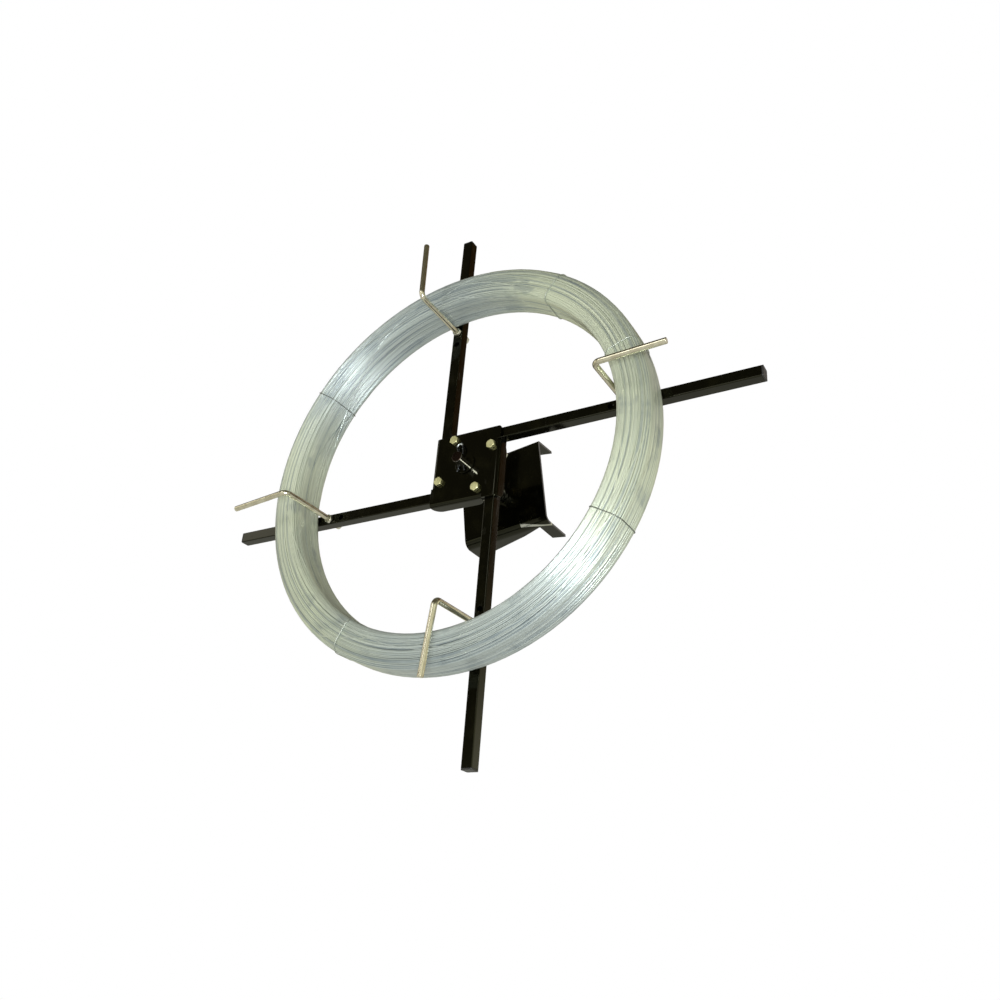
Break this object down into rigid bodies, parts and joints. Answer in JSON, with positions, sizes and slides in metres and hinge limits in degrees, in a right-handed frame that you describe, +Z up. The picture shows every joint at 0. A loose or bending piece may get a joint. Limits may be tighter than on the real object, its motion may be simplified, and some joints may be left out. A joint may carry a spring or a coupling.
{
  "type": "wire uncoiler",
  "caption": "Wire uncoiler: square-tube arms turn on a spindle and hold a coil of fence wire inside swivelling bent pins, on a bent channel bracket.",
  "frame": {"origin": "on the spindle's axis, at the rear face of the bracket's web", "axes": "+Y runs along the spindle, out of the bracket's rear face, so the reel's front looks along -Y; +Z is up with the bracket upright; +X is to the right seen from the front"},
  "size_m": [1.0016, 0.3079, 1.0016],
  "materials": {
    "black_enamel": "gloss",
    "zinc": "bright zinc plate",
    "yellow_zinc": "yellow zinc plate",
    "galvanised_wire": "galvanised",
    "bronze": "plain",
    "black_plastic": "matte"
  },
  "bodies": {
    "mount": {"mounting_bracket": "black_enamel", "spindle": "black_enamel", "spindle_front_nut": "zinc", "spindle_lock_washer": "zinc", "spindle_rear_nut": "zinc", "spacer_tube": "black_enamel", "front_thrust_washer": "black_enamel", "rear_thrust_washer": "zinc", "hairpin_clip": "zinc"},
    "reel": {"hub_front_plate": "black_enamel", "hub_back_plate": "black_enamel", "hub_sleeve": "black_enamel", "hub_bush_front": "bronze", "hub_bush_rear": "bronze", "arm_right": "black_enamel", "arm_plug_right": "black_plastic", "hub_bolt_right": "yellow_zinc", "hub_washer_right": "zinc", "hub_lock_nut_right": "zinc", "arm_top": "black_enamel", "arm_plug_top": "black_plastic", "hub_bolt_top": "yellow_zinc", "hub_washer_top": "zinc", "hub_lock_nut_top": "zinc", "arm_left": "black_enamel", "arm_plug_left": "black_plastic", "hub_bolt_left": "yellow_zinc", "hub_washer_left": "zinc", "hub_lock_nut_left": "zinc", "arm_bottom": "black_enamel", "arm_plug_bottom": "black_plastic", "hub_bolt_bottom": "yellow_zinc", "hub_washer_bottom": "zinc", "hub_lock_nut_bottom": "zinc", "wire_coil_core": "galvanised_wire", "wire_coil_winding": "galvanised_wire", "coil_tie_upper_left": "galvanised_wire", "coil_tie_upper_right": "galvanised_wire", "coil_tie_right": "galvanised_wire", "coil_tie_lower_right": "galvanised_wire", "coil_tie_lower_left": "galvanised_wire"},
    "pin_right": {"retaining_pin_right": "zinc", "pin_front_nut_right": "zinc", "pin_rear_nut_right": "zinc"},
    "pin_top": {"retaining_pin_top": "zinc", "pin_front_nut_top": "zinc", "pin_rear_nut_top": "zinc"},
    "pin_left": {"retaining_pin_left": "zinc", "pin_front_nut_left": "zinc", "pin_rear_nut_left": "zinc"},
    "pin_bottom": {"retaining_pin_bottom": "zinc", "pin_front_nut_bottom": "zinc", "pin_rear_nut_bottom": "zinc"}
  },
  "joints": [
    {"name": "reel_spin", "type": "hinge", "parent": "mount", "child": "reel", "pos_m": [0, -0.1103, 0], "axis": [0, 1, 0], "continuous": true},
    {"name": "pin_swivel_right", "type": "hinge", "parent": "reel", "child": "pin_right", "pos_m": [0.28864, -0.1103, 0.00329], "axis": [0, 1, 0], "continuous": true},
    {"name": "pin_swivel_top", "type": "hinge", "parent": "reel", "child": "pin_top", "pos_m": [-0.00329, -0.1103, 0.28864], "axis": [0, 1, 0], "continuous": true},
    {"name": "pin_swivel_left", "type": "hinge", "parent": "reel", "child": "pin_left", "pos_m": [-0.28864, -0.1103, -0.00329], "axis": [0, 1, 0], "continuous": true},
    {"name": "pin_swivel_bottom", "type": "hinge", "parent": "reel", "child": "pin_bottom", "pos_m": [0.00329, -0.1103, -0.28864], "axis": [0, 1, 0], "continuous": true}
  ]
}
